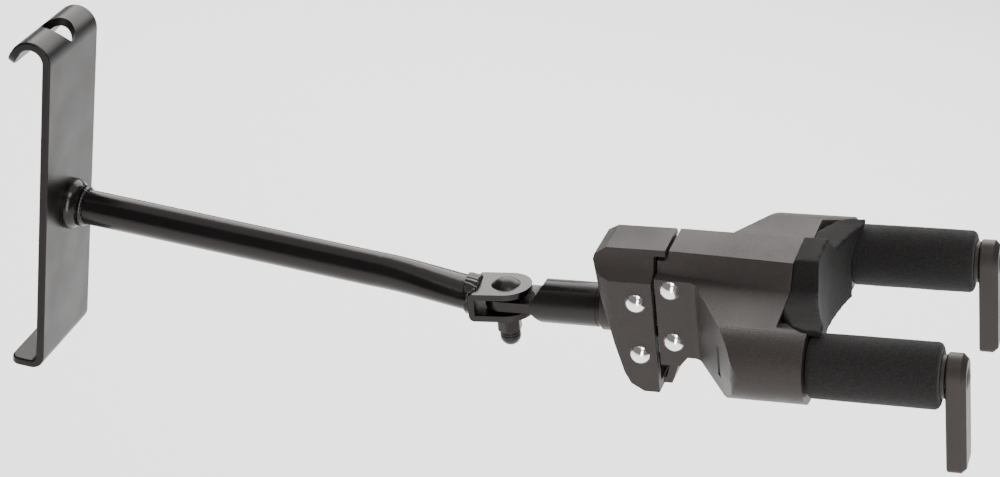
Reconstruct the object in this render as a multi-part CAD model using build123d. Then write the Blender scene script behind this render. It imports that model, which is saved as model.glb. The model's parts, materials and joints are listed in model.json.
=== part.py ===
from build123d import *
import math
import os

# Wall guitar hanger: a hooked wall plate, a long arm, a clevis hinge and a
# swivelling self-closing yoke.  Millimetres.  +Z up, +Y into the wall.
# Origin: centre of the plate's back face, on the arm's axis.
# Head pieces are drawn in their own frame: origin on the hinge pin's axis,
# "forward" is the distance from the pin towards the gates.

# ---------------------------------------------------------------- wall plate
PLATE_WIDTH = 41.4
PLATE_THICK = 3.0
PLATE_ABOVE = 60.7          # arm axis up to where the hook starts to bend
PLATE_BELOW = 59.5          # arm axis down to the underside of the foot
HOOK_INNER_R = 4.5
HOOK_TURN = 150.0           # degrees of bend
HOOK_TIP = 6.0              # straight end past the bend
HOOK_CORNER_R = 5.0
HOOK_HOLE_D = 12.0
FOOT_REACH = 10.0           # foot's end, behind the plate's back face
FOOT_INNER_R = 2.0
FOOT_CORNER_R = 3.5
PLATE_EDGE_R = 0.7

# ----------------------------------------------------------------------- arm
TUBE_D = 12.7
TUBE_WALL = 1.6
PIN_REACH = 163.6           # plate's front face to the hinge pin
SQUASH_LENGTH = 36.0        # pressed stretch of tube before the clevis
SQUASH_WIDTH = 16.0
SQUASH_HEIGHT = 11.2
SQUASH_DROP = 1.5           # tube end set down to meet the tilted web
COLLAR_D = 18.6
COLLAR_LIP = 1.3
COLLAR_LENGTH = 5.4
COLLAR_NECK_D = 15.0
WELD_LENGTH = 1.9
CLEVIS_WELD_PROUD = 1.0
CLEVIS_WELD_LAP = 2.4       # bead over the upper ear

# -------------------------------------------------------------------- clevis
HEAD_TILT = 12.0            # degrees, front of the head raised at the clevis
CLEVIS_WIDTH = 18.4
CLEVIS_HEIGHT = 10.4
CLEVIS_SHEET = 2.2
CLEVIS_BACK = 12.0          # pin axis to the back of the web
CLEVIS_BEND_R = 2.0
PIN_D = 6.0
PIN_HEAD_D = 10.4
PIN_HEAD_H = 2.3
PIN_TAIL = 9.0              # pin below the lower ear
TONGUE_THICK = 3.6
TONGUE_PLAY = 0.3
WASHER_D = 12.0
WASHER_THICK = 1.2
SPRING_WASHER_D = 9.6
SPRING_WASHER_THICK = 1.4
NUT_ACROSS_FLATS = 8.0
NUT_HEIGHT = 4.2
CAP_D = 7.4
CAP_HEIGHT = 6.2

# ----------------------------------------------------------- swivel knuckle
SWING_AT_REST = -6.4        # degrees about the pin
ROLL_AT_REST = -4.1         # degrees about the knuckle's axis
KNUCKLE_D = 15.5
KNUCKLE_START = 10.8        # where the round body leaves the tongue
KNUCKLE_SHOULDER = 4.8      # length of the slanted shoulder
KNUCKLE_END = 34.4
SPINDLE_D = 7.0
THRUST_D = 15.0
THRUST_THICK = 1.4
SPINDLE_NUT_FLATS = 11.0
SPINDLE_NUT_HEIGHT = 3.6
BUSHING_WALL = 2.0
BUSHING_END = 44.4
FIT = 0.05                  # radial clearance of every pin and shaft
GAP = 0.3                   # clearance between faces that move past each other

# -------------------------------------------------------------- rear housing
BODY_HALF_WIDTH = 14.5
BODY_WALL = 3.0
RIDGE_HALF_WIDTH = 8.0
RIDGE_Z = 27.6
BOSS_D = 17.0
REAR_FACE = 36.2            # back of the bearing boss
REAR_END = 57.5             # front edge of the rear housing
SPLIT_GAP = 1.3
LIP_REACH = 4.0             # overhang of the rear housing's top lip
LIP_Z = 25.5                # underside of that lip
REAR_FLOOR_Z = -24.3
SHELF_IN = 7.9              # inner edge of the drive plate's shelves
SHELF_DROP = 4.5            # height of those shelves

# ------------------------------------------------------------------- linkage
REAR_PIVOT = 51.5           # forward of the hinge pin
PIVOT_SPACING = 20.0
LINK_LENGTH = 13.7
LINK_ANGLE = 26.0           # degrees above level at rest, as far below when loaded
PIVOT_D = 3.6
RIVET_D = 7.0
RIVET_H = 1.9
LINK_CHEEK = 2.6
UPPER_CHEEK_OUT = 6.5       # upper link's cheeks clear the yoke's ridge
LINK_END_R = 2.8
LINK_WEB = 2.4
SPRING_WIRE = 1.2
SPRING_R = 3.7
SPRING_TURNS = 6.0
SPRING_PITCH = 1.6
SPRING_LEG = 8.6
SPRING_TAIL = 2.4

# ---------------------------------------------------------------------- yoke
ARM_OFFSET = 36.5           # arm axis from the centre line
ARM_Z = 6.0                 # arm axis above the knuckle's axis, at rest
SLEEVE_R = 12.7
SLEEVE_END = 115.0
YOKE_END = 104.7            # front of the middle, behind the pad
SHELL_WALL = 2.4
CORE_END = 101.0
FLARE_START = 72.5
FLARE_END = 93.0
FLARE_ROUND = 4.0
FLARE_SLOT = (ARM_OFFSET - 2.0, ARM_OFFSET + 0.5)   # x of the slot in each flare
FLARE_SLOT_Z = (-1.5, 9.5)
YOKE_UNDER_Z = -9.5
LOWER_LIP_Z = -13.0
LOWER_LIP_END = 65.5
CATCH_HALF_WIDTH = 13.0
CATCH_DEPTH = 8.0
CATCH_WALL = 1.8
SHOULDER_REAR = (10.0, 20.3)    # foot of the ridge's bevel: half width, height
SHOULDER_FRONT = (15.0, 19.3)
VALLEY_X = ARM_OFFSET - 9.0     # hollow between the shoulder and each sleeve
VALLEY_REAR_Z = 19.3
VALLEY_FRONT_Z = 18.9
SCREW_D = 3.0
SCREW_HEAD_D = 5.6
SCREW_BOSS_R = 3.2
SCREW_SPOTS = ((16.0, 80.0), (18.0, 99.0))
NECK_REST_R = 85.0
PAD_REACH = 8.0             # pad thickness on the centre line
PAD_MIDDLE = ARM_OFFSET - 10.5  # half width between the sleeves
PAD_TOP_OUT = ARM_OFFSET + 1.5  # half width of the laps over the sleeves
PAD_LAP_R = 11.2            # underside of the laps
PAD_UNDER_Z = -5.0
PAD_FRONT = 119.5
PAD_PROUD = 0.7
PAD_SEAT_OVER = 3.0         # the shells' seat is cut this far above them

# --------------------------------------------------------------- padded arms
CORE_TUBE_D = 14.0
CORE_TUBE_WALL = 2.0
FOAM_R = 10.7
FOAM_END = 156.6
CORE_TUBE_END = 157.0
ROD_D = 6.0
ROD_BUSHING_LENGTH = 5.0
SPACER_THICK = 1.0

# --------------------------------------------------------------------- gates
GATE_WIDTH = 13.0
GATE_THICK = 6.3
GATE_ABOVE = 8.0
GATE_BELOW = 32.6
GATE_FOOT_WIDTH = 12.4
GATE_EDGE_R = 0.7
GATE_BEVEL = 1.6            # front edges
GATE_CORNER_R = 2.2
CRANK_R = 8.5
CRANK_THICK = 2.4
CRANK_END_R = 2.3
CRANK_PIN_D = 3.0
CRANK_PIN_LENGTH = 7.6
GATE_CAP_D = 7.3
GATE_CAP_PROUD = 0.7
GATE_SEAT = 2.4             # depth of the cap's seat

# --------------------------------------------------------------- drive plate
DRIVE_THICK = 2.5
DRIVE_NECK = 3.6            # half width between the upper link's cheeks
DRIVE_BAR_HALF = 25.8
DRIVE_LEG = (45.4, 53.0)    # anchored stretch, beside the spindle nut
DRIVE_SCREW = (9.6, 49.2)   # half spacing, forward
DRIVE_SCREW_R = 1.25
DRIVE_BAR = (88.0, 92.0)
FORK_LENGTH = 4.0
FORK_IN = 22.0
FORK_ROOT = 3.4
FORK_OUT = 31.5
FORK_TINE = 1.9
FORK_PLAY = 0.5

# ------------------------------------------------------------ derived values
FRONT_Y = -PLATE_THICK
TUBE_R = TUBE_D / 2
EAR_IN = CLEVIS_HEIGHT / 2 - CLEVIS_SHEET
EAR_OUT = CLEVIS_HEIGHT / 2
LINK_RISE = LINK_LENGTH * math.sin(math.radians(LINK_ANGLE))
LINK_RUN = LINK_LENGTH * math.cos(math.radians(LINK_ANGLE))
FRONT_PIVOT = REAR_PIVOT + LINK_RUN
YOKE_START = REAR_END + SPLIT_GAP
INNER_HALF = BODY_HALF_WIDTH - BODY_WALL
LINK_OUT = INNER_HALF - GAP
THRUST_END = KNUCKLE_END + THRUST_THICK
GATE_BACK = CORE_TUBE_END + SPACER_THICK + GAP
GATE_FRONT = GATE_BACK + GATE_THICK
CRANK_FRONT = CORE_END - 0.4
CRANK_BACK = CRANK_FRONT - CRANK_THICK
CRANK_ANGLE = math.asin(LINK_RISE / CRANK_R)
CRANK_PIN_IN = CRANK_R * math.cos(CRANK_ANGLE)
CRANK_PIN_Z = ARM_Z - LINK_RISE

# ------------------------------------------------------------------- frames
PIN_AT = Location((0, FRONT_Y - PIN_REACH, 0))
CLEVIS_FRAME = PIN_AT * Location((0, 0, 0), (-HEAD_TILT, 0, 0))
KNUCKLE_FRAME = CLEVIS_FRAME * Location((0, 0, 0), (0, 0, SWING_AT_REST))
HEAD_FRAME = KNUCKLE_FRAME * Location((0, 0, 0), (0, ROLL_AT_REST, 0))
WALL_FRAME = Location()


# ------------------------------------------------------------------ helpers
def mirrored(points):
    """Close a half outline, given from the centre line out, by its mirror image."""
    return list(points) + [(-x, z) for x, z in reversed(points) if x > 0]


def section(points, start, end):
    """Solid with a constant (x, z) section between two forward distances."""
    face = Polygon(*points, align=None)
    return extrude(Plane.XZ.offset(start) * face, end - start, dir=(0, -1, 0))


def plan(outline, low, high):
    """Solid with a constant (x, forward) outline between two heights."""
    face = Polygon(*[(x, -f) for x, f in outline], align=None)
    return extrude(Plane.XY.offset(low) * face, high - low, dir=(0, 0, 1))


def side(profile, half_width):
    """Solid with a constant (forward, z) profile, centred on x = 0."""
    face = Polygon(*[(-f, z) for f, z in profile], align=None)
    return extrude(Plane.YZ.offset(-half_width) * face, 2 * half_width, dir=(1, 0, 0))


def rod(x, z, radius, start, end):
    """Cylinder along the forward direction."""
    disc = Plane.XZ.offset(start) * Pos(x, z) * Circle(radius)
    return extrude(disc, end - start)


def ring(x, z, outer, inner, start, end):
    return rod(x, z, outer, start, end) - rod(x, z, inner, start - 1, end + 1)


def cross_pin(forward, z, radius, low, high):
    """Cylinder along X between two x values."""
    disc = Plane.YZ.offset(low) * Pos(-forward, z) * Circle(radius)
    return extrude(disc, high - low)


def block(x0, x1, f0, f1, z0, z1):
    size = (x1 - x0, f1 - f0, z1 - z0)
    return Pos((x0 + x1) / 2, -(f0 + f1) / 2, (z0 + z1) / 2) * Box(*size)


def standing(radius, height):
    return Cylinder(radius, height, align=(Align.CENTER, Align.CENTER, Align.MIN))


def upright(radius, low, high, x=0.0, forward=0.0):
    return Pos(x, -forward, low) * standing(radius, high - low)


def dome(radius, height):
    """Spherical cap standing on the XY plane."""
    ball = (radius ** 2 + height ** 2) / (2 * height)
    cap = Pos(0, 0, height - ball) * Sphere(ball)
    return cap & Pos(0, 0, height / 2) * Box(4 * radius, 4 * radius, height)


# --------------------------------------------------------------- wall bracket
def bend(y, z, inner, start, turn):
    """Quarter-ring like bend of the plate's strip about an X axis at (y, z)."""
    strip = Plane.XY * Pos(0, inner + PLATE_THICK / 2) * Rectangle(PLATE_WIDTH, PLATE_THICK)
    swept = revolve(strip, Axis.X, turn)
    return Pos(0, y, z) * Rot(X=start) * swept


def wall_plate():
    outer = HOOK_INNER_R + PLATE_THICK
    foot_z = -PLATE_BELOW + PLATE_THICK + FOOT_INNER_R
    flat_height = PLATE_ABOVE - foot_z
    flat = Pos(0, -PLATE_THICK / 2, foot_z + flat_height / 2) * Box(PLATE_WIDTH, PLATE_THICK, flat_height)
    hook = bend(HOOK_INNER_R, PLATE_ABOVE, HOOK_INNER_R, 180 - HOOK_TURN, HOOK_TURN)
    tip_outline = Rectangle(PLATE_WIDTH, HOOK_TIP, align=(Align.CENTER, Align.MIN))
    tip_outline = fillet(tip_outline.vertices().sort_by(Axis.Y)[-2:], HOOK_CORNER_R)
    tip = extrude(Plane.XY.offset(HOOK_INNER_R) * tip_outline, PLATE_THICK)
    end_angle = 180 - HOOK_TURN
    tip = Pos(0, HOOK_INNER_R, PLATE_ABOVE) * Rot(X=end_angle - 90) * tip
    foot_bend = bend(FOOT_INNER_R, foot_z, FOOT_INNER_R, 180, 90)
    foot_outline = Rectangle(PLATE_WIDTH, FOOT_REACH - FOOT_INNER_R, align=(Align.CENTER, Align.MIN))
    foot_outline = fillet(foot_outline.vertices().sort_by(Axis.Y)[-2:], FOOT_CORNER_R)
    foot = Pos(0, FOOT_INNER_R, -PLATE_BELOW) * extrude(foot_outline, PLATE_THICK)
    strip = flat + hook + tip + foot_bend + foot
    long_edges = [e for e in strip.edges() if abs(abs(e.center().X) - PLATE_WIDTH / 2) < 0.2]
    strip = fillet(long_edges, PLATE_EDGE_R)
    crown = Pos(0, HOOK_INNER_R - 0.8, PLATE_ABOVE) * Rot(X=6)
    strip -= crown * standing(HOOK_HOLE_D / 2, 4 * outer)
    return strip


def arm_collar():
    lip = COLLAR_D / 2
    neck = COLLAR_NECK_D / 2
    outline = Polyline((TUBE_R, 0), (lip, 0), (lip, COLLAR_LIP))
    flank = RadiusArc((lip, COLLAR_LIP), (neck, COLLAR_LENGTH - 0.8), -4.5)
    top = Polyline((neck, COLLAR_LENGTH - 0.8), (neck, COLLAR_LENGTH), (TUBE_R, COLLAR_LENGTH), (TUBE_R, 0))
    ferrule = revolve(make_face(outline + flank + top), Axis.Y, 360)
    return Pos(0, FRONT_Y, 0) * Rot(X=180) * ferrule


def collar_weld():
    wide = COLLAR_NECK_D / 2 - 0.1
    base = Line((TUBE_R, 0), (wide, 0))
    crown = ThreePointArc((wide, 0), (wide - 0.25, WELD_LENGTH * 0.7), (TUBE_R, WELD_LENGTH))
    back = Line((TUBE_R, WELD_LENGTH), (TUBE_R, 0))
    bead = revolve(make_face(base + crown + back), Axis.Y, 360)
    return Pos(0, FRONT_Y - COLLAR_LENGTH, 0) * Rot(X=180) * bead


def pressed_tube(shrink):
    """Tube body from the plate to past the clevis web, its end pressed flatter."""
    straight = PIN_REACH - CLEVIS_BACK - SQUASH_LENGTH
    past = 6.0
    radius = TUBE_R - shrink
    mouth = Ellipse(radius, radius - 0.001)
    flat = (SQUASH_WIDTH / 2 - shrink, SQUASH_HEIGHT / 2 - shrink)
    half = ((radius + flat[0]) / 2, (radius + flat[1]) / 2)
    stations = [
        Plane.XZ.offset(straight) * mouth,
        Plane.XZ.offset(straight + SQUASH_LENGTH * 0.45) * Pos(0, -SQUASH_DROP * 0.2) * Ellipse(*half),
        Plane.XZ.offset(straight + SQUASH_LENGTH * 0.85) * Pos(0, -SQUASH_DROP * 0.8) * Ellipse(*flat),
        Plane.XZ.offset(straight + SQUASH_LENGTH + past) * Pos(0, -SQUASH_DROP) * Ellipse(*flat),
    ]
    run = extrude(Plane.XZ * mouth, straight, dir=(0, -1, 0))
    return Pos(0, FRONT_Y, 0) * (run + loft(stations))


def clevis_slab(start, end):
    return CLEVIS_FRAME * block(-20, 20, start, end, -20, 20)


def arm_tube():
    return pressed_tube(0) - pressed_tube(TUBE_WALL) - clevis_slab(-CLEVIS_BACK, 30)


def clevis_weld():
    """Bead round the tube's end, lapping over the upper ear."""
    band = clevis_slab(-CLEVIS_BACK - WELD_LENGTH, -CLEVIS_BACK + CLEVIS_WELD_LAP)
    bead = pressed_tube(-CLEVIS_WELD_PROUD) & band
    tube = pressed_tube(0) - clevis_slab(-CLEVIS_BACK, 30)
    return bead - tube - CLEVIS_FRAME * clevis_channel()


def clevis_channel():
    half = CLEVIS_WIDTH / 2
    channel = block(-half, half, -CLEVIS_BACK, 0, -EAR_OUT, EAR_OUT) + upright(half, -EAR_OUT, EAR_OUT)
    bends = channel.edges().filter_by(Axis.X).group_by(Axis.Y)[-1]
    return fillet(bends, CLEVIS_BEND_R)


def clevis_bracket():
    half = CLEVIS_WIDTH / 2
    channel = clevis_channel()
    channel -= block(-half - 1, half + 1, CLEVIS_SHEET - CLEVIS_BACK, half + 1, -EAR_IN, EAR_IN)
    return channel - upright(PIN_D / 2 + FIT, -EAR_OUT - 1, EAR_OUT + 1)


def clevis_pin():
    shank = upright(PIN_D / 2, -EAR_OUT - PIN_TAIL, EAR_OUT)
    return shank + Pos(0, 0, EAR_OUT) * dome(PIN_HEAD_D / 2, PIN_HEAD_H)


def flat_ring(outer, inner, low, high):
    return upright(outer, low, high) - upright(inner, low - 1, high + 1)


def tongue_washers():
    low = TONGUE_THICK / 2 + TONGUE_PLAY
    hole = PIN_D / 2 + FIT
    return [flat_ring(WASHER_D / 2, hole, low, EAR_IN), flat_ring(WASHER_D / 2, hole, -EAR_IN, -low)]


def hinge_washer():
    return flat_ring(WASHER_D / 2, PIN_D / 2 + FIT, -EAR_OUT - WASHER_THICK, -EAR_OUT)


def spring_washer():
    top = -EAR_OUT - WASHER_THICK
    washer = flat_ring(SPRING_WASHER_D / 2, PIN_D / 2 + 2 * FIT, top - SPRING_WASHER_THICK, top)
    slit = Pos(SPRING_WASHER_D / 2, 0, top) * Rot(X=25) * Box(SPRING_WASHER_D / 2, 0.7, 8)
    return washer - slit


def nut_top():
    return -EAR_OUT - WASHER_THICK - SPRING_WASHER_THICK


def hinge_nut():
    low = nut_top() - NUT_HEIGHT
    corner = NUT_ACROSS_FLATS / math.sqrt(3)
    body = extrude(Plane.XY.offset(low) * RegularPolygon(corner, 6), NUT_HEIGHT)
    rounding = upright(corner - 0.25, low, nut_top())
    return (body & rounding) - upright(PIN_D / 2, low - 1, nut_top() + 1)


def nut_cap():
    top = nut_top() - NUT_HEIGHT
    radius = CAP_D / 2
    crown = radius * 0.85
    skirt = CAP_HEIGHT - crown
    cap = upright(radius, top - skirt, top) + Pos(0, 0, top - skirt) * Rot(X=180) * dome(radius, crown)
    for turn in (0.3, 0.62):
        groove = flat_ring(radius + 1, radius - 0.3, -0.25, 0.25)
        cap -= Pos(0, 0, top - skirt * turn) * groove
    return cap - upright(PIN_D / 2 + FIT, -EAR_OUT - PIN_TAIL - 0.2, top + 1)


# ------------------------------------------------------------ swivel knuckle
def swivel_knuckle():
    radius = KNUCKLE_D / 2
    body = rod(0, 0, radius, KNUCKLE_START, KNUCKLE_END)
    half = TONGUE_THICK / 2
    before = KNUCKLE_START - 1
    for flip in (1, -1):
        low, high = half * flip, (radius + 1) * flip
        slant_end = KNUCKLE_START + KNUCKLE_SHOULDER
        wedge = [(before, low), (KNUCKLE_START, low), (slant_end, high), (before, high)]
        body -= side(wedge, radius + 1)
    tongue = upright(radius, -half, half) + block(-radius, radius, 0, KNUCKLE_START + 3, -half, half)
    outline = rod(0, 0, radius, KNUCKLE_START - 0.01, KNUCKLE_END)
    outline += block(-radius, radius, -radius - 1, KNUCKLE_START, -half, half)
    tongue = tongue & outline
    spindle = rod(0, 0, SPINDLE_D / 2, KNUCKLE_END, BUSHING_END + SPINDLE_NUT_HEIGHT + 2.2)
    return body + tongue + spindle - upright(PIN_D / 2 + FIT, -half - 1, half + 1)


def thrust_washer():
    return ring(0, 0, THRUST_D / 2, SPINDLE_D / 2, KNUCKLE_END, THRUST_END)


def spindle_washer():
    start = BUSHING_END + GAP
    return ring(0, 0, SPINDLE_NUT_FLATS / 2, SPINDLE_D / 2, start, start + 0.8)


def spindle_nut():
    start = BUSHING_END + GAP + 0.8
    face = RegularPolygon(SPINDLE_NUT_FLATS / math.sqrt(3), 6)
    nut = extrude(Plane.XZ.offset(start) * face, SPINDLE_NUT_HEIGHT)
    return nut - rod(0, 0, SPINDLE_D / 2, start - 1, start + SPINDLE_NUT_HEIGHT + 1)


# -------------------------------------------------------------- rear housing
def rear_section(inset, floor):
    shoulder = SHOULDER_REAR
    half = [(0, RIDGE_Z - inset), (RIDGE_HALF_WIDTH - inset * 0.8, RIDGE_Z - inset),
            (shoulder[0] - inset, shoulder[1] - inset), (BODY_HALF_WIDTH - inset, shoulder[1] - 2.1 - inset),
            (BODY_HALF_WIDTH - inset, floor), (0, floor)]
    return mirrored(half)


def rear_housing():
    lip_end = REAR_END + LIP_REACH
    floor = REAR_FLOOR_Z
    inside_floor = floor + BODY_WALL
    inside_top = LIP_Z - BODY_WALL + 2
    profile = [(lip_end, RIDGE_Z), (lip_end, LIP_Z), (REAR_END, LIP_Z), (REAR_END, floor),
               (52.0, floor), (47.6, floor + 2.8), (45.6, floor + 7), (41.9, -1.7),
               (38.4, 12.5), (36.3, 23.4), (36.9, 25.2), (41.0, RIDGE_Z)]
    outline = mirrored([(0, lip_end), (BODY_HALF_WIDTH, lip_end), (BODY_HALF_WIDTH, 43.0), (12.6, 39.2),
                        (9.0, 36.2), (0, 35.8)])
    shell = section(rear_section(0, floor), 30, 70) & side(profile, 20) & plan(outline, -30, 30)
    hollow = [(REAR_END + 1, inside_top), (REAR_END + 1, inside_floor), (53.0, inside_floor),
              (49.0, floor + 8), (45.2, 0), (42.2, 12), (40.4, inside_top)]
    shell -= section(rear_section(BODY_WALL, inside_floor), 30, REAR_END + 1) & side(hollow, 20)
    shell += rod(0, 0, BOSS_D / 2, REAR_FACE, BUSHING_END)
    leg_start, leg_end = DRIVE_LEG
    seat = -DRIVE_THICK / 2
    shelf = block(SHELF_IN, INNER_HALF + 0.5, leg_start - 2, leg_end, seat - SHELF_DROP, seat)
    shell += shelf + mirror(shelf, Plane.YZ)
    shell -= rod(0, 0, SPINDLE_D / 2 + FIT + BUSHING_WALL, 30, BUSHING_END + 1)
    shell -= rod(0, 0, SPINDLE_NUT_FLATS / math.sqrt(3) + 2 * GAP, BUSHING_END, REAR_END)
    shell -= block(-INNER_HALF, INNER_HALF, leg_start - 0.2, leg_end, seat, DRIVE_THICK / 2 + 2)
    coil_half = SPRING_PITCH * SPRING_TURNS / 2 + SPRING_WIRE
    coil_out = SPRING_R + SPRING_WIRE / 2 + GAP
    shell -= cross_pin(REAR_PIVOT, -PIVOT_SPACING / 2, coil_out, -coil_half, coil_half)
    for z in (PIVOT_SPACING / 2, -PIVOT_SPACING / 2):
        shell -= cross_pin(REAR_PIVOT, z, PIVOT_D / 2, -20, 20)
    half_spacing, forward = DRIVE_SCREW
    for x in (half_spacing, -half_spacing):
        shell -= upright(DRIVE_SCREW_R, -SHELF_DROP, 0, x, forward)
    return shell


def spindle_bushing():
    inner = SPINDLE_D / 2 + FIT
    return ring(0, 0, inner + BUSHING_WALL, inner, REAR_FACE, BUSHING_END)


def pivot_pins(forward, low, high):
    """Two domed rivets right through the housing, one for each link."""
    pins = []
    for z in (low, high):
        pin = cross_pin(forward, z, PIVOT_D / 2, -BODY_HALF_WIDTH, BODY_HALF_WIDTH)
        head = Pos(BODY_HALF_WIDTH, -forward, z) * Rot(Y=90) * dome(RIVET_D / 2, RIVET_H)
        pins.append(pin + head + mirror(head, Plane.YZ))
    return pins


def drive_plate():
    bar_back, bar_front = DRIVE_BAR
    leg_start, leg_end = DRIVE_LEG
    legs_in = SHELF_IN - 0.3
    legs_out = INNER_HALF - 0.1
    notch_end = BUSHING_END + SPINDLE_NUT_HEIGHT + 3.2
    half = [(0, notch_end), (legs_in, notch_end), (legs_in, leg_start), (legs_out, leg_start),
            (legs_out, leg_end), (DRIVE_NECK, leg_end + 2.5), (DRIVE_NECK, 80.0), (16.0, bar_back),
            (DRIVE_BAR_HALF, bar_back), (DRIVE_BAR_HALF, bar_front), (0, bar_front)]
    plate = plan(mirrored(half), -DRIVE_THICK / 2, DRIVE_THICK / 2)
    half_spacing, forward = DRIVE_SCREW
    for x in (half_spacing, -half_spacing):
        plate -= upright(DRIVE_SCREW_R, -5, 5, x, forward)
    return plate


def drive_plate_screws():
    half_spacing, forward = DRIVE_SCREW
    top = DRIVE_THICK / 2
    screws = []
    for x in (half_spacing, -half_spacing):
        shank = upright(DRIVE_SCREW_R, -SHELF_DROP + 0.2, top, x, forward)
        screws.append(shank + Pos(x, -forward, top) * dome(1.8, 1.2))
    return screws


def drive_fork(x):
    start, end = DRIVE_BAR[1], DRIVE_BAR[1] + FORK_LENGTH
    slot = CRANK_PIN_D / 2 + FORK_PLAY
    high = slot + FORK_TINE
    level = CRANK_PIN_Z
    body = block(FORK_IN, FORK_OUT, start, end, level - high, level + high)
    body -= block(FORK_IN + FORK_ROOT, FORK_OUT + 1, start - 1, end + 1, level - slot, level + slot)
    return body if x > 0 else mirror(body, Plane.YZ)


# ------------------------------------------------------------------- linkage
def link(rear_z, cheek_out, barrel):
    """Two cheeks and a cross web; the upper link has barrels out to the walls."""
    front_z = rear_z + LINK_RISE
    across = LINK_END_R * LINK_RUN / LINK_LENGTH
    along = LINK_END_R * LINK_RISE / LINK_LENGTH
    strap = side([(REAR_PIVOT + along, rear_z - across), (FRONT_PIVOT + along, front_z - across),
                  (FRONT_PIVOT - along, front_z + across), (REAR_PIVOT - along, rear_z + across)], cheek_out)
    ends = ((REAR_PIVOT, rear_z), (FRONT_PIVOT, front_z))
    reach = LINK_OUT if barrel else cheek_out
    for forward, z in ends:
        strap += cross_pin(forward, z, LINK_END_R, -reach, reach)
    inner = cheek_out - LINK_CHEEK
    strap -= block(-inner, inner, REAR_PIVOT - 9, FRONT_PIVOT + 9, rear_z - 12, front_z + 12)
    middle = Pos(0, -(REAR_PIVOT + FRONT_PIVOT) / 2, (rear_z + front_z) / 2) * Rot(X=-LINK_ANGLE)
    strap += middle * Box(2 * inner + 1, LINK_WEB, 2 * LINK_END_R)
    for forward, z in ends:
        strap -= cross_pin(forward, z, PIVOT_D / 2 + FIT, -20, 20)
    return strap


def return_spring():
    """Torsion spring on the lower rear pivot, one leg under the lower link's web."""
    height = SPRING_PITCH * SPRING_TURNS
    coil_path = Helix(SPRING_PITCH, height, SPRING_R)
    coil = sweep(Plane(origin=coil_path @ 0, z_dir=coil_path % 0) * Circle(SPRING_WIRE / 2), path=coil_path)
    base = (Align.CENTER, Align.CENTER, Align.MIN)
    leg = Pos(SPRING_R, 0, 0) * Rot(X=90) * Cylinder(SPRING_WIRE / 2, SPRING_LEG, align=base)
    tail = Pos(SPRING_R, 0, height) * Rot(X=-90) * Cylinder(SPRING_WIRE / 2, SPRING_TAIL, align=base)
    spring = Pos(-height / 2, 0, 0) * Rot(Y=90) * (coil + leg + tail)
    return Pos(0, -REAR_PIVOT, -PIVOT_SPACING / 2) * Rot(X=-LINK_ANGLE) * spring


# ---------------------------------------------------------------------- yoke
def yoke_section(inset, shoulder, valley_z, sleeve_r):
    low = LOWER_LIP_Z + inset
    half = [(0, RIDGE_Z - inset), (RIDGE_HALF_WIDTH - inset * 0.7, RIDGE_Z - inset),
            (shoulder[0] - inset * 0.7, shoulder[1] - inset), (VALLEY_X, valley_z - inset),
            (ARM_OFFSET, ARM_Z + sleeve_r), (ARM_OFFSET, ARM_Z - sleeve_r),
            (BODY_HALF_WIDTH - inset, YOKE_UNDER_Z + inset),
            (BODY_HALF_WIDTH - inset, low), (0, low)]
    return Polygon(*mirrored(half), align=None)


def yoke_form(inset, start, end, sleeve_end):
    """Yoke body, or with an inset the hollow inside it."""
    radius = SLEEVE_R - inset
    rear = yoke_section(inset, SHOULDER_REAR, VALLEY_REAR_Z, radius)
    front = yoke_section(inset, SHOULDER_FRONT, VALLEY_FRONT_Z, radius)
    body = loft([Plane.XZ.offset(start) * rear, Plane.XZ.offset(end) * front], ruled=True)
    for x in (ARM_OFFSET, -ARM_OFFSET):
        body += rod(x, ARM_Z, radius, FLARE_START, sleeve_end)
    return body


def yoke_outline(inset):
    outer = ARM_OFFSET + SLEEVE_R
    half = [(0, YOKE_START), (BODY_HALF_WIDTH, YOKE_START), (BODY_HALF_WIDTH, FLARE_START),
            (outer, FLARE_END), (outer, SLEEVE_END), (0, SLEEVE_END)]
    face = Polygon(*[(x, -f) for x, f in mirrored(half)], align=None)
    corners = [v for v in face.vertices() if abs(abs(v.X) - outer) < 0.1 and abs(v.Y + FLARE_END) < 0.1]
    valley = [v for v in face.vertices() if abs(v.Y + FLARE_START) < 0.1]
    face = fillet(corners + valley, FLARE_ROUND)
    return offset(face, -inset, kind=Kind.INTERSECTION) if inset else face


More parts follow.
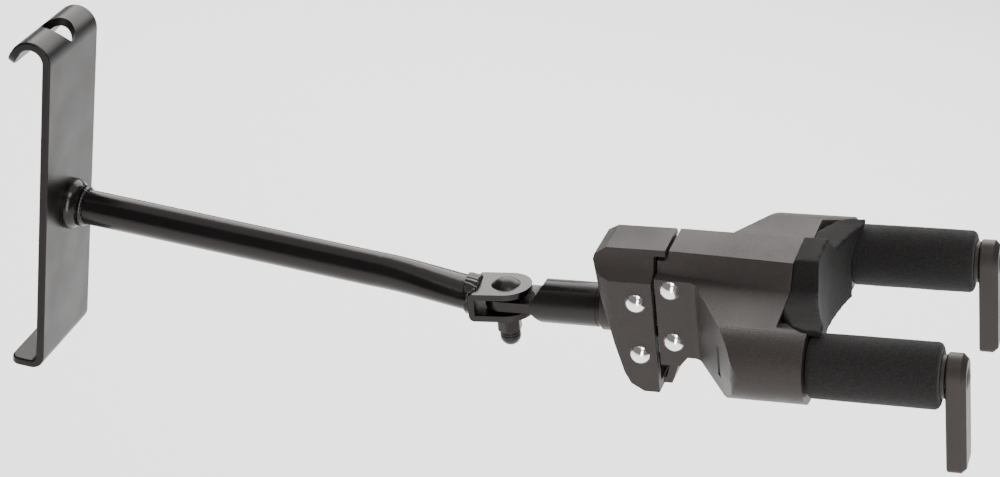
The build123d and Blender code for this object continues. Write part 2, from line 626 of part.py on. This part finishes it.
def yoke_shells():
    outside = extrude(Plane.XY.offset(-30) * yoke_outline(0), 70, dir=(0, 0, 1))
    profile = [(YOKE_START, LOWER_LIP_Z), (LOWER_LIP_END, LOWER_LIP_Z), (LOWER_LIP_END + 2.8, YOKE_UNDER_Z),
               (SLEEVE_END, YOKE_UNDER_Z), (SLEEVE_END, RIDGE_Z - 1.2), (YOKE_START + LIP_REACH, RIDGE_Z),
               (YOKE_START + LIP_REACH, LIP_Z - SPLIT_GAP), (YOKE_START, LIP_Z - SPLIT_GAP)]
    form = yoke_form(0, YOKE_START - 1, YOKE_END, SLEEVE_END) & outside & side(profile, 60)
    inside = extrude(Plane.XY.offset(-30) * yoke_outline(SHELL_WALL), 70, dir=(0, 0, 1))
    inside += block(-INNER_HALF, INNER_HALF, YOKE_START - 2, FLARE_START, -30, 40)
    inside = inside & block(-60, 60, YOKE_START - 2, CORE_END, YOKE_UNDER_Z + SHELL_WALL, 40)
    step = YOKE_START + LIP_REACH + SHELL_WALL
    under_lip = block(-60, 60, 0, step, -30, LIP_Z - SPLIT_GAP - 2)
    inside = inside & (under_lip + block(-60, 60, step, CORE_END, -30, 40))
    inside = inside & yoke_form(SHELL_WALL, YOKE_START - 2, CORE_END, CORE_END)
    shell = form - inside
    shell -= block(-INNER_HALF, INNER_HALF, YOKE_START - 1, LOWER_LIP_END - 1.5, LOWER_LIP_Z - 1, 0)
    for x, forward in SCREW_SPOTS:
        for sign in (1, -1):
            shell += upright(SCREW_BOSS_R, YOKE_UNDER_Z + 0.8, RIDGE_Z, sign * x, forward) & form
    for x, forward in SCREW_SPOTS:
        for sign in (1, -1):
            shell -= upright(SCREW_D / 2, YOKE_UNDER_Z - 1, 15.0, sign * x, forward)
            shell -= upright(SCREW_HEAD_D / 2 + 0.1, YOKE_UNDER_Z - 1, YOKE_UNDER_Z + 2.6, sign * x, forward)
    for z in (PIVOT_SPACING / 2 + LINK_RISE, -PIVOT_SPACING / 2 + LINK_RISE):
        shell -= cross_pin(FRONT_PIVOT, z, PIVOT_D / 2, -20, 20)
        shell -= cross_pin(FRONT_PIVOT, z, LINK_END_R + 2 * GAP, -INNER_HALF, INNER_HALF)
    for x in (ARM_OFFSET, -ARM_OFFSET):
        shell -= rod(x, ARM_Z, CORE_TUBE_D / 2, CORE_END - 1, SLEEVE_END + 1)
    slot = block(*FLARE_SLOT, FLARE_START, CRANK_BACK - CRANK_PIN_LENGTH - 1, *FLARE_SLOT_Z)
    shell -= slot + mirror(slot, Plane.YZ)
    return shell


def shell_catch():
    """Hooked tab under the yoke's rear edge."""
    low = LOWER_LIP_Z - CATCH_DEPTH
    root = LOWER_LIP_Z + 2
    end = LOWER_LIP_END
    outer = [(YOKE_START, low), (end - 3.7, low), (end, root), (end - 1.5 - CATCH_WALL, root),
             (end - 4.6 - CATCH_WALL * 0.5, low + 2.2), (YOKE_START, low + 2.2)]
    return side(outer, CATCH_HALF_WIDTH)


def yoke_upper_shell():
    upper = yoke_shells() & block(-60, 60, 0, 200, ARM_Z, 60)
    return upper - pad_blank(PAD_SEAT_OVER)


def yoke_lower_shell():
    lower = yoke_shells() & block(-60, 60, 0, 200, -60, ARM_Z)
    return lower - pad_blank(PAD_SEAT_OVER) + shell_catch()


def shell_screws():
    screws = []
    for x, forward in SCREW_SPOTS:
        for sign in (1, -1):
            shank = upright(SCREW_D / 2, YOKE_UNDER_Z + 1.0, 14.0, sign * x, forward)
            head = upright(SCREW_HEAD_D / 2, YOKE_UNDER_Z + 0.8, YOKE_UNDER_Z + 2.6, sign * x, forward)
            screws.append(shank + head)
    return screws


def pad_blank(proud):
    """The pad before its hollow front: a block between the arms that laps over both sleeves."""
    shoulder = SHOULDER_FRONT
    half = [(0, RIDGE_Z - 0.8 + proud), (RIDGE_HALF_WIDTH, RIDGE_Z - 0.8 + proud),
            (shoulder[0], shoulder[1] + proud), (VALLEY_X, VALLEY_FRONT_Z + proud),
            (ARM_OFFSET - 3, ARM_Z + SLEEVE_R - 0.2 + proud), (PAD_TOP_OUT, ARM_Z + SLEEVE_R + proud),
            (PAD_TOP_OUT, ARM_Z), (PAD_MIDDLE, ARM_Z), (PAD_MIDDLE, PAD_UNDER_Z), (0, PAD_UNDER_Z)]
    blank = section(mirrored(half), YOKE_END, PAD_FRONT)
    top_view = [(0, YOKE_END), (PAD_MIDDLE, YOKE_END), (PAD_MIDDLE + 3, YOKE_END + 1),
                (PAD_TOP_OUT - 2, SLEEVE_END - 5), (PAD_TOP_OUT, SLEEVE_END - 1), (PAD_TOP_OUT, PAD_FRONT),
                (0, PAD_FRONT)]
    blank = blank & plan(mirrored(top_view), -30, 50)
    for x in (ARM_OFFSET, -ARM_OFFSET):
        blank -= rod(x, ARM_Z, PAD_LAP_R, YOKE_END - 1, PAD_FRONT + 1)
    return blank


def yoke_pad():
    hollow = upright(NECK_REST_R, -30, 50, 0, YOKE_END + PAD_REACH + NECK_REST_R)
    return pad_blank(PAD_PROUD) - hollow


# --------------------------------------------------------------- padded arms
def arm_core(x):
    outer = CORE_TUBE_D / 2
    return ring(x, ARM_Z, outer, outer - CORE_TUBE_WALL, CORE_END, CORE_TUBE_END)


def rod_bushings(x):
    outer = CORE_TUBE_D / 2 - CORE_TUBE_WALL
    inner = ROD_D / 2 + FIT
    back = ring(x, ARM_Z, outer, inner, CORE_END, CORE_END + ROD_BUSHING_LENGTH)
    front = ring(x, ARM_Z, outer, inner, CORE_TUBE_END - ROD_BUSHING_LENGTH, CORE_TUBE_END)
    return [back, front]


def foam_sleeve(x):
    return ring(x, ARM_Z, FOAM_R, CORE_TUBE_D / 2, SLEEVE_END + 0.4, FOAM_END)


def gate_spacer(x):
    return ring(x, ARM_Z, CORE_TUBE_D / 2, ROD_D / 2 + FIT, CORE_TUBE_END, CORE_TUBE_END + SPACER_THICK)


# --------------------------------------------------------------------- gates
def gate_rod(x):
    inward = -math.copysign(1, x)
    pin_x = x + inward * CRANK_PIN_IN
    shaft = rod(x, ARM_Z, ROD_D / 2, CRANK_BACK, GATE_FRONT - GATE_SEAT)
    crank = rod(x, ARM_Z, ROD_D / 2, CRANK_BACK, CRANK_FRONT)
    crank += rod(pin_x, CRANK_PIN_Z, CRANK_END_R, CRANK_BACK, CRANK_FRONT)
    angle = -inward * math.degrees(CRANK_ANGLE)
    middle = Pos((x + pin_x) / 2, (ARM_Z + CRANK_PIN_Z) / 2) * Rot(Z=angle)
    arm = Plane.XZ.offset(CRANK_BACK) * middle * Rectangle(CRANK_R, 2 * CRANK_END_R)
    crank += extrude(arm, CRANK_THICK, dir=(0, -1, 0))
    pin = rod(pin_x, CRANK_PIN_Z, CRANK_PIN_D / 2, CRANK_BACK - CRANK_PIN_LENGTH, CRANK_BACK)
    bore = rod(x, ARM_Z, 1.5, GATE_FRONT - GATE_SEAT - 9, GATE_FRONT)
    return shaft + crank + pin - bore


def gate(x):
    half = GATE_WIDTH / 2
    foot = GATE_FOOT_WIDTH / 2
    low = ARM_Z - GATE_BELOW
    top = ARM_Z + GATE_ABOVE - half
    face = Polygon((x - foot, low), (x + foot, low), (x + half, top), (x - half, top), align=None)
    face = fillet(face.vertices().group_by(Axis.Y)[0], GATE_CORNER_R)
    paddle = extrude(Plane.XZ.offset(GATE_BACK) * face, GATE_THICK, dir=(0, -1, 0))
    paddle += rod(x, top, half, GATE_BACK, GATE_FRONT)
    front = paddle.faces().filter_by(Axis.Y).sort_by(Axis.Y)[0].edges()
    paddle = chamfer(front, GATE_BEVEL)
    back = paddle.faces().filter_by(Axis.Y).sort_by(Axis.Y)[-1].edges()
    paddle = fillet(back, GATE_EDGE_R)
    paddle -= rod(x, ARM_Z, ROD_D / 2, GATE_BACK - 1, GATE_FRONT)
    return paddle - rod(x, ARM_Z, GATE_CAP_D / 2, GATE_FRONT - GATE_SEAT, GATE_FRONT + 1)


def gate_washer(x):
    start = GATE_FRONT - GATE_SEAT
    return ring(x, ARM_Z, GATE_CAP_D / 2 - 0.1, 1.6, start, start + 0.5)


def gate_screw(x):
    seat = GATE_FRONT - GATE_SEAT + 0.5
    return rod(x, ARM_Z, 1.5, seat - 8.5, seat) + rod(x, ARM_Z, 2.7, seat, seat + 1.0)


def gate_cap(x):
    start = GATE_FRONT - GATE_SEAT + 1.6
    rim = rod(x, ARM_Z, GATE_CAP_D / 2, start, GATE_FRONT)
    return rim + Pos(x, -GATE_FRONT, ARM_Z) * Rot(X=90) * dome(GATE_CAP_D / 2, GATE_CAP_PROUD)


# ------------------------------------------------------------------ assembly
def build():
    """Every node with the frame that it is drawn in."""
    lower = -PIVOT_SPACING / 2
    upper = PIVOT_SPACING / 2
    nodes = {
        "wall_plate": (wall_plate(), WALL_FRAME),
        "arm_collar": (arm_collar(), WALL_FRAME),
        "collar_weld": (collar_weld(), WALL_FRAME),
        "arm_tube": (arm_tube(), WALL_FRAME),
        "clevis_weld": (clevis_weld(), WALL_FRAME),
        "clevis_bracket": (clevis_bracket(), CLEVIS_FRAME),
        "clevis_pin": (clevis_pin(), CLEVIS_FRAME),
        "tongue_washers": (tongue_washers(), CLEVIS_FRAME),
        "hinge_washer": (hinge_washer(), CLEVIS_FRAME),
        "spring_washer": (spring_washer(), CLEVIS_FRAME),
        "hinge_nut": (hinge_nut(), CLEVIS_FRAME),
        "nut_cap": (nut_cap(), CLEVIS_FRAME),
        "swivel_knuckle": (swivel_knuckle(), KNUCKLE_FRAME),
        "thrust_washer": (thrust_washer(), KNUCKLE_FRAME),
        "spindle_washer": (spindle_washer(), KNUCKLE_FRAME),
        "spindle_nut": (spindle_nut(), KNUCKLE_FRAME),
        "rear_housing": (rear_housing(), HEAD_FRAME),
        "spindle_bushing": (spindle_bushing(), HEAD_FRAME),
        "rear_pivot_pins": (pivot_pins(REAR_PIVOT, lower, upper), HEAD_FRAME),
        "drive_plate": (drive_plate(), HEAD_FRAME),
        "drive_plate_screws": (drive_plate_screws(), HEAD_FRAME),
        "upper_link": (link(upper, UPPER_CHEEK_OUT, True), HEAD_FRAME),
        "lower_link": (link(lower, LINK_OUT, False), HEAD_FRAME),
        "return_spring": (return_spring(), HEAD_FRAME),
        "yoke_upper_shell": (yoke_upper_shell(), HEAD_FRAME),
        "yoke_lower_shell": (yoke_lower_shell(), HEAD_FRAME),
        "shell_screws": (shell_screws(), HEAD_FRAME),
        "yoke_pad": (yoke_pad(), HEAD_FRAME),
        "front_pivot_pins": (pivot_pins(FRONT_PIVOT, lower + LINK_RISE, upper + LINK_RISE), HEAD_FRAME),
    }
    for name, x in (("left", -ARM_OFFSET), ("right", ARM_OFFSET)):
        nodes["drive_fork_" + name] = (drive_fork(x), HEAD_FRAME)
        nodes["arm_core_" + name] = (arm_core(x), HEAD_FRAME)
        nodes["rod_bushings_" + name] = (rod_bushings(x), HEAD_FRAME)
        nodes["foam_sleeve_" + name] = (foam_sleeve(x), HEAD_FRAME)
        nodes["gate_spacer_" + name] = (gate_spacer(x), HEAD_FRAME)
        nodes["gate_rod_" + name] = (gate_rod(x), HEAD_FRAME)
        nodes["gate_" + name] = (gate(x), HEAD_FRAME)
        nodes["gate_washer_" + name] = (gate_washer(x), HEAD_FRAME)
        nodes["gate_screw_" + name] = (gate_screw(x), HEAD_FRAME)
        nodes["gate_cap_" + name] = (gate_cap(x), HEAD_FRAME)
    return nodes


def placed(shape, frame):
    if isinstance(shape, list):
        return Compound(children=[frame * piece for piece in shape])
    return frame * shape


os.makedirs("parts", exist_ok=True)
for node, (shape, frame) in build().items():
    export_step(placed(shape, frame), "parts/" + node + ".step")
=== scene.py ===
import json
import math

import bmesh
import bpy
from mathutils import Matrix, Vector, noise


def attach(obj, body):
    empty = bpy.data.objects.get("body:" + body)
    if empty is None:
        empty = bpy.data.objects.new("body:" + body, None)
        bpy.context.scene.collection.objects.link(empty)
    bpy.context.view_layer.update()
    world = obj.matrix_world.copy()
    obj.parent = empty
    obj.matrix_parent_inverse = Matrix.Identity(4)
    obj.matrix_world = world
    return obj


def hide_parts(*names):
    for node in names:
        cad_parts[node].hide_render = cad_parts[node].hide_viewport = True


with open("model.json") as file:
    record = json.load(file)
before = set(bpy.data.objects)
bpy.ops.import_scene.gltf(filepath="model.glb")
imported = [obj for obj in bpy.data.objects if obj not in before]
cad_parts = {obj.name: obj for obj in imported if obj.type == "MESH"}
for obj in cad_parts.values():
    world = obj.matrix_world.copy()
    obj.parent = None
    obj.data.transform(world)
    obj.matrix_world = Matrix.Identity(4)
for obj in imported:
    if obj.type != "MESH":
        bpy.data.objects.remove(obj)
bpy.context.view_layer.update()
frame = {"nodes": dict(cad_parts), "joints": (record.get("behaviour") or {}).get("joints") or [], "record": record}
MM = 0.001

# --------------------------------------------------------------- head's frame
joints = {j["name"]: j for j in frame["joints"]}
across = Vector(joints["link_drop"]["axis"]).normalized()
backward = Vector(joints["gate_right_turn"]["axis"]).normalized()
upward = across.cross(backward)
HEAD = (Matrix.Translation(joints["yoke_swivel"]["pos_m"])
        @ Matrix((across, backward, upward)).transposed().to_4x4())


FROM_WORLD = HEAD.inverted()


def head_box(node):
    """A node's lowest and highest corners in the head's frame."""
    seen = [FROM_WORLD @ v.co for v in frame["nodes"][node].data.vertices]
    return [Vector([pick(p[i] for p in seen) for i in range(3)]) for pick in (min, max)]


# ------------------------------------------------------------------ materials
def finish(name, base, rough, grain_mm, bump, speckle=0.0, mottle=0.15, metal=0.0, spec=0.5, coat=0.0,
           rough_swing=0.06, tint=None, sheen=0.0, stretch=(1, 1, 1)):
    """A moulded, painted or metal surface: fine grain, slow mottling and uneven gloss."""
    mat = bpy.data.materials.new(name)
    mat.use_nodes = True
    nodes, links = mat.node_tree.nodes, mat.node_tree.links
    shader = nodes["Principled BSDF"]
    place = nodes.new("ShaderNodeTexCoord")
    spread = nodes.new("ShaderNodeMapping")
    spread.inputs["Scale"].default_value = stretch
    links.new(place.outputs["Object"], spread.inputs["Vector"])
    where = spread.outputs["Vector"]

    slow = nodes.new("ShaderNodeTexNoise")
    slow.inputs["Scale"].default_value = 55
    slow.inputs["Detail"].default_value = 4
    links.new(where, slow.inputs["Vector"])
    fine = nodes.new("ShaderNodeTexNoise")
    fine.inputs["Scale"].default_value = 1 / (grain_mm * MM)
    fine.inputs["Detail"].default_value = 3
    fine.inputs["Roughness"].default_value = 0.6
    links.new(where, fine.inputs["Vector"])

    tone = nodes.new("ShaderNodeValToRGB")
    dark = [c * (1 - mottle) for c in base]
    light = [min(1, c * (1 + mottle)) for c in base]
    tone.color_ramp.elements[0].position = 0.3
    tone.color_ramp.elements[0].color = (*dark, 1)
    tone.color_ramp.elements[1].position = 0.7
    tone.color_ramp.elements[1].color = (*light, 1)
    links.new(slow.outputs["Fac"], tone.inputs["Fac"])
    colour = tone.outputs["Color"]
    if speckle:
        dots = nodes.new("ShaderNodeValToRGB")
        dots.color_ramp.elements[0].position = 0.42
        dots.color_ramp.elements[0].color = (1 - speckle, 1 - speckle, 1 - speckle, 1)
        dots.color_ramp.elements[1].position = 0.62
        dots.color_ramp.elements[1].color = (1 + speckle, 1 + speckle, 1 + speckle, 1)
        links.new(fine.outputs["Fac"], dots.inputs["Fac"])
        mix = nodes.new("ShaderNodeMix")
        mix.data_type = "RGBA"
        mix.blend_type = "MULTIPLY"
        mix.inputs["Factor"].default_value = 1
        links.new(colour, mix.inputs["A"])
        links.new(dots.outputs["Color"], mix.inputs["B"])
        colour = mix.outputs["Result"]
    links.new(colour, shader.inputs["Base Color"])

    gloss = nodes.new("ShaderNodeMapRange")
    gloss.inputs["From Min"].default_value = 0.3
    gloss.inputs["From Max"].default_value = 0.7
    gloss.inputs["To Min"].default_value = max(0.02, rough - rough_swing)
    gloss.inputs["To Max"].default_value = rough + rough_swing
    links.new(slow.outputs["Fac"], gloss.inputs["Value"])
    links.new(gloss.outputs["Result"], shader.inputs["Roughness"])

    if bump:
        relief = nodes.new("ShaderNodeBump")
        relief.inputs["Strength"].default_value = bump
        relief.inputs["Distance"].default_value = grain_mm * MM * 0.5
        links.new(fine.outputs["Fac"], relief.inputs["Height"])
        links.new(relief.outputs["Normal"], shader.inputs["Normal"])
    shader.inputs["Metallic"].default_value = metal
    shader.inputs["Specular IOR Level"].default_value = spec
    if coat:
        shader.inputs["Coat Weight"].default_value = coat
        shader.inputs["Coat Roughness"].default_value = 0.12
    if tint:
        shader.inputs["Specular Tint"].default_value = (*tint, 1)
    if sheen:
        shader.inputs["Sheen Weight"].default_value = sheen
        shader.inputs["Sheen Roughness"].default_value = 0.5
    return mat


WARM = (1.0, 0.93, 0.90)
LOOKS = {
    "powder_coat": finish("powder_coat", (0.0055, 0.005, 0.0048), 0.34, 0.45, 0.25, mottle=0.2, spec=0.2,
                          tint=WARM),
    "black_paint": finish("black_paint", (0.0028, 0.0025, 0.0025), 0.19, 0.9, 0.10, spec=0.3, tint=WARM,
                          rough_swing=0.03),
    "black_steel": finish("black_steel", (0.006, 0.0055, 0.005), 0.28, 0.3, 0.15, spec=0.25, tint=WARM),
    "black_cap_plastic": finish("black_cap_plastic", (0.006, 0.0055, 0.005), 0.30, 0.3, 0.1, spec=0.25,
                                tint=WARM),
    "knuckle_paint": finish("knuckle_paint", (0.005, 0.0045, 0.0043), 0.27, 0.35, 0.22, spec=0.27,
                            tint=WARM),
    "bearing_plastic": finish("bearing_plastic", (0.62, 0.60, 0.55), 0.42, 0.4, 0.1, mottle=0.04),
    "plated_steel": finish("plated_steel", (0.52, 0.52, 0.53), 0.32, 0.25, 0.15, metal=1, mottle=0.08),
    "spring_steel": finish("spring_steel", (0.28, 0.28, 0.29), 0.30, 0.2, 0.15, metal=1, mottle=0.1),
    "bright_rivet": finish("bright_rivet", (0.82, 0.80, 0.78), 0.09, 1.5, 0.03, metal=1, mottle=0.04,
                           rough_swing=0.02),
    "housing_plastic": finish("housing_plastic", (0.0185, 0.0155, 0.0145), 0.44, 0.42, 0.75, speckle=0.16,
                              mottle=0.08,
                              spec=0.26, tint=WARM),
    "gate_plastic": finish("gate_plastic", (0.020, 0.0168, 0.0157), 0.40, 0.25, 0.18, mottle=0.07,
                           spec=0.24, tint=WARM),
    "soft_pad": finish("soft_pad", (0.0055, 0.0048, 0.0046), 0.72, 0.5, 0.55, speckle=0.3, mottle=0.25,
                       spec=0.14,
                       sheen=0.03, stretch=(1, 1, 0.35)),
    "black_foam": finish("black_foam", (0.0065, 0.0058, 0.0056), 0.85, 0.55, 0.8, speckle=0.45, mottle=0.2,
                         spec=0.25,
                         sheen=0.05),
}
slots = {s["node"]: s["material_slot"] for s in frame["record"]["subparts"]}
node_body = {n: b for b, ns in frame["record"]["behaviour"]["bodies"].items() for n in ns}
for node, obj in frame["nodes"].items():
    if not obj.material_slots:
        obj.data.materials.append(None)
    for spot in obj.material_slots:
        spot.material = LOOKS[slots[node]]


# ------------------------------------------------------------- piece builders
def new_piece(name, mesh, node, *more, smooth_angle=35):
    """A piece that stands for one or more CAD nodes and moves with their body."""
    obj = bpy.data.objects.new(name, mesh)
    bpy.context.scene.collection.objects.link(obj)
    for face in mesh.polygons:
        face.use_smooth = True
    mesh.set_sharp_from_angle(angle=math.radians(smooth_angle))
    mesh.materials.clear()
    mesh.materials.append(LOOKS[slots[node]])
    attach(obj, node_body[node])
    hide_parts(node, *more)
    return obj


def welded_copy(node, flatten=1.0):
    """The CAD node's surface as clean polygons, in the row frame."""
    bm = bmesh.new()
    bm.from_mesh(frame["nodes"][node].data)
    bmesh.ops.remove_doubles(bm, verts=bm.verts, dist=0.01 * MM)
    if flatten:
        bmesh.ops.dissolve_limit(bm, angle_limit=math.radians(flatten), verts=bm.verts, edges=bm.edges)
    return bm


def rounded(node, width, sharpest=28, longer=2.5, wanted=None):
    """A CAD piece with its outer edges broken, as moulding or tumbling leaves them."""
    bm = welded_copy(node)
    picked = []
    for edge in bm.edges:
        if not edge.is_manifold or edge.calc_length() < longer * MM:
            continue
        turn = edge.calc_face_angle_signed(0)
        if turn > math.radians(sharpest) and (wanted is None or wanted(edge)):
            picked.append(edge)
    bmesh.ops.bevel(bm, geom=picked, offset=width * MM, offset_type="OFFSET", segments=3, profile=0.6,
                    affect="EDGES", clamp_overlap=True)
    mesh = bpy.data.meshes.new(node + "_rounded")
    bm.to_mesh(mesh)
    bm.free()
    obj = new_piece(node + "_rounded", mesh, node)
    even = obj.modifiers.new("even_shading", "WEIGHTED_NORMAL")
    even.keep_sharp = True
    return obj


for node, width in (("rear_housing", 0.9), ("yoke_upper_shell", 0.9), ("yoke_lower_shell", 0.9),
                    ("clevis_bracket", 0.35), ("swivel_knuckle", 0.3)):
    rounded(node, width)


# ----------------------------------------------------------------- soft pieces
FOAM_AROUND = 128
FOAM_STEP = 0.6             # mm between rings
FOAM_CORNER = 1.7           # mm, the rounding that cutting and handling leave
FOAM_CELLS = 0.10           # mm, depth of the open cells
FOAM_CELL_SIZE = 0.9        # mm
FOAM_DENTS = 0.22           # mm, depth of the slow unevenness
FOAM_DENT_SIZE = 9          # mm
CORNER_STEPS = 6


def foam_sleeve(node):
    """Cut foam tube: rounded ends, a slightly uneven skin, a true bore."""
    low, high = head_box(node)
    middle = (low + high) / 2
    radii = []
    for v in frame["nodes"][node].data.vertices:
        spot = FROM_WORLD @ v.co
        radii.append(math.hypot(spot.x - middle.x, spot.z - middle.z))
    bore, outer = min(radii), max(radii)
    corner = FOAM_CORNER * MM
    rear = [(low.y, bore), (low.y, (bore + outer - corner) / 2)]
    for i in range(CORNER_STEPS + 1):
        a = math.pi / 2 * i / CORNER_STEPS
        rear.append((low.y + corner * (1 - math.cos(a)), outer - corner * (1 - math.sin(a))))
    profile = list(rear)
    rings = int((high.y - low.y - 2 * corner) / (FOAM_STEP * MM))
    for i in range(1, rings):
        profile.append((low.y + corner + (high.y - low.y - 2 * corner) * i / rings, outer))
    profile += [(low.y + high.y - y, radius) for y, radius in reversed(rear)]
    bm = bmesh.new()
    loops = []
    for y, radius in profile:
        loop = []
        for k in range(FOAM_AROUND):
            a = 2 * math.pi * k / FOAM_AROUND
            way = Vector((math.cos(a), 0, math.sin(a)))
            spot = Vector((middle.x, y, middle.z)) + way * radius
            if radius > bore * 1.05:
                cells = 0.5 + 0.5 * noise.noise(spot / (FOAM_CELL_SIZE * MM))
                dents = 0.5 + 0.5 * noise.noise(spot / (FOAM_DENT_SIZE * MM))
                spot -= way * (FOAM_CELLS * cells + FOAM_DENTS * dents) * MM
            loop.append(bm.verts.new(HEAD @ spot))
        loops.append(loop)
    for one, two in zip(loops, loops[1:] + loops[:1]):
        for k in range(FOAM_AROUND):
            n = (k + 1) % FOAM_AROUND
            bm.faces.new((one[k], one[n], two[n], two[k]))
    bmesh.ops.recalc_face_normals(bm, faces=bm.faces)
    mesh = bpy.data.meshes.new(node + "_foam")
    bm.to_mesh(mesh)
    bm.free()
    obj = new_piece(node + "_foam", mesh, node, smooth_angle=60)


def softened(node, voxel, passes):
    """The CAD node's form as one even skin with its corners melted down."""
    bm = welded_copy(node, flatten=0)
    mesh = bpy.data.meshes.new(node + "_rough")
    bm.to_mesh(mesh)
    bm.free()
    rough = bpy.data.objects.new(node + "_rough", mesh)
    bpy.context.scene.collection.objects.link(rough)
    cubes = rough.modifiers.new("voxels", "REMESH")
    cubes.mode = "VOXEL"
    cubes.voxel_size = voxel * MM
    melt = rough.modifiers.new("melt", "SMOOTH")
    melt.factor = 0.5
    melt.iterations = passes
    ready = rough.evaluated_get(bpy.context.evaluated_depsgraph_get())
    skin = bpy.data.meshes.new_from_object(ready)
    bpy.data.objects.remove(rough)
    return skin


for side in ("left", "right"):
    foam_sleeve("foam_sleeve_" + side)

PAD_SAG = 0.18              # mm, unevenness of the moulded pad
PAD_SAG_SIZE = 7            # mm
pad_skin = softened("yoke_pad", voxel=0.6, passes=7)
for v in pad_skin.vertices:
    v.co -= v.normal * (0.5 + 0.5 * noise.noise(v.co / (PAD_SAG_SIZE * MM))) * PAD_SAG * MM
new_piece("yoke_pad_moulded", pad_skin, "yoke_pad", smooth_angle=70)


# ----------------------------------------------------------------------- welds
DROP_WANDER = 1.6           # radians by which the drops wander along the bead
DROP_WANDER_SIZE = 3        # mm
DROP_LEVEL = 0.6            # share of the height that stands inside the bead


def weld_bead(node, ripples, height):
    """Weld metal laid in overlapping drops round the arm's axis."""
    skin = softened(node, voxel=0.3, passes=3)
    for v in skin.vertices:
        around = math.atan2(v.co.z, v.co.x)
        wander = DROP_WANDER * noise.noise(v.co / (DROP_WANDER_SIZE * MM))
        drop = abs(math.sin(around * ripples / 2 + wander))
        v.co += v.normal * (drop - DROP_LEVEL) * height * MM
    new_piece(node + "_bead", skin, node, smooth_angle=60)


weld_bead("collar_weld", ripples=26, height=0.10)
weld_bead("clevis_weld", ripples=17, height=0.22)


# --------------------------------------------------------------- camera, light
FOCAL_MM = 76.4
SENSOR_MM = 36.0
turn, tilt, roll = (math.radians(a) for a in (9.79, 26.77, 7.54))
ahead = Vector((math.cos(tilt) * math.cos(turn), math.cos(tilt) * math.sin(turn), -math.sin(tilt)))
level = Vector((math.sin(turn), -math.cos(turn), 0))
lift = level.cross(ahead)
cam_right = level * math.cos(roll) + lift * math.sin(roll)
cam_up = lift * math.cos(roll) - level * math.sin(roll)
lens = bpy.data.cameras.new("camera")
lens.lens = FOCAL_MM
lens.sensor_width = SENSOR_MM
lens.clip_start = 0.01
lens.clip_end = 30
camera = bpy.data.objects.new("camera", lens)
camera.matrix_world = (Matrix.Translation((-0.6457, -0.2727, 0.3526))
                       @ Matrix((cam_right, cam_up, -ahead)).transposed().to_4x4())
bpy.context.scene.collection.objects.link(camera)
bpy.context.scene.camera = camera


def softbox(name, at, aim, size, watts, colour=(1, 1, 1)):
    lamp = bpy.data.lights.new(name, "AREA")
    lamp.shape = "RECTANGLE"
    lamp.size, lamp.size_y = size
    lamp.energy = watts
    lamp.color = colour
    obj = bpy.data.objects.new(name, lamp)
    obj.location = at
    obj.rotation_euler = (Vector(aim) - Vector(at)).to_track_quat("-Z", "Y").to_euler()
    bpy.context.scene.collection.objects.link(obj)


MIDDLE = (0, -0.16, 0)
softbox("top_light", (0.15, -0.2, 1.1), MIDDLE, (1.6, 1.6), 10, (1.0, 0.985, 0.97))
softbox("main_light", (1.15, -0.05, 0.75), MIDDLE, (1.5, 1.1), 26, (1.0, 0.985, 0.97))
softbox("side_light", (-1.5, -0.55, 0.32), MIDDLE, (0.5, 1.6), 22, (1.0, 0.985, 0.97))
softbox("crown_light", (-0.55, -0.35, 1.0), MIDDLE, (0.45, 0.45), 5, (1.0, 0.99, 0.98))

world = bpy.data.worlds.new("studio")
world.use_nodes = True
world.node_tree.nodes["Background"].inputs["Color"].default_value = (0.96, 0.97, 1.0, 1)
world.node_tree.nodes["Background"].inputs["Strength"].default_value = 0.25
bpy.context.scene.world = world

floor_mesh = bpy.data.meshes.new("floor")
FLOOR_Z = -0.34
FLOOR_HALF = 8
floor_corners = [(x * FLOOR_HALF, y * FLOOR_HALF, FLOOR_Z) for x, y in ((-1, -1), (1, -1), (1, 1), (-1, 1))]
floor_mesh.from_pydata(floor_corners, [], [(0, 1, 2, 3)])
floor = bpy.data.objects.new("floor", floor_mesh)
bpy.context.scene.collection.objects.link(floor)
paint = bpy.data.materials.new("floor_paint")
paint.use_nodes = True
floor_shader = paint.node_tree.nodes["Principled BSDF"].inputs
floor_shader["Base Color"].default_value = (0.86, 0.86, 0.86, 1)
floor_shader["Roughness"].default_value = 0.9
floor_shader["Emission Color"].default_value = (1, 1, 1, 1)
floor_shader["Emission Strength"].default_value = 1.2
floor_mesh.materials.append(paint)
